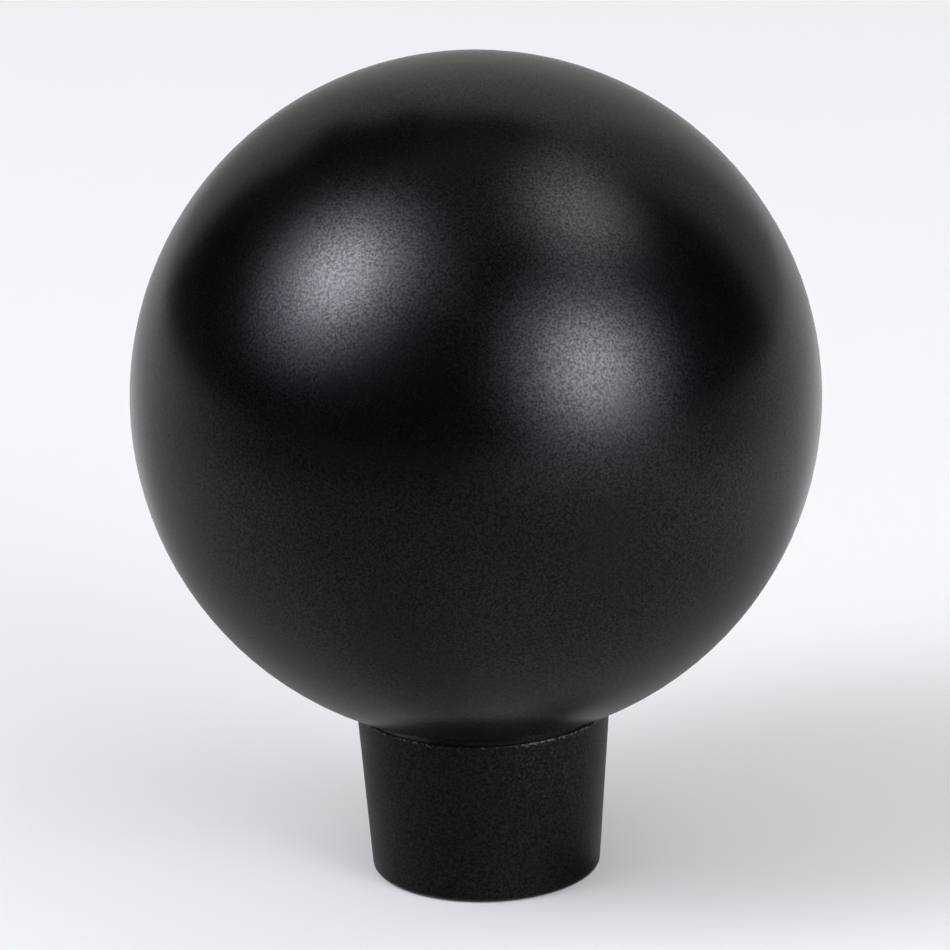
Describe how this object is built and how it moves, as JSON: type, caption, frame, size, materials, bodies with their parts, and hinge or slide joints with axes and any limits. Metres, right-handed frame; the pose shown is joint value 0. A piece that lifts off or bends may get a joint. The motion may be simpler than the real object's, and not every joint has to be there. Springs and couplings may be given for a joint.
{
  "type": "ball knob",
  "caption": "Matte black ball on a short tapered neck, for pulling a door or drawer open; a screw from behind the door runs into a tapped hole in the neck's base.",
  "frame": {"origin": "centre of the neck's flat base, which goes against the door or drawer front", "axes": "+Z along the knob's axis, out of the door towards the top of the ball; the knob is round, so X and Y are free"},
  "size_m": [0.0286, 0.0286, 0.0349],
  "materials": {
    "ball_coating": "smooth satin black coating with a fine grain",
    "neck_coating": "satin black coating, a little coarser than on the ball, rubbed along the top rim"
  },
  "bodies": {
    "root": {"ball": "ball_coating", "neck": "neck_coating"}
  },
  "joints": []
}
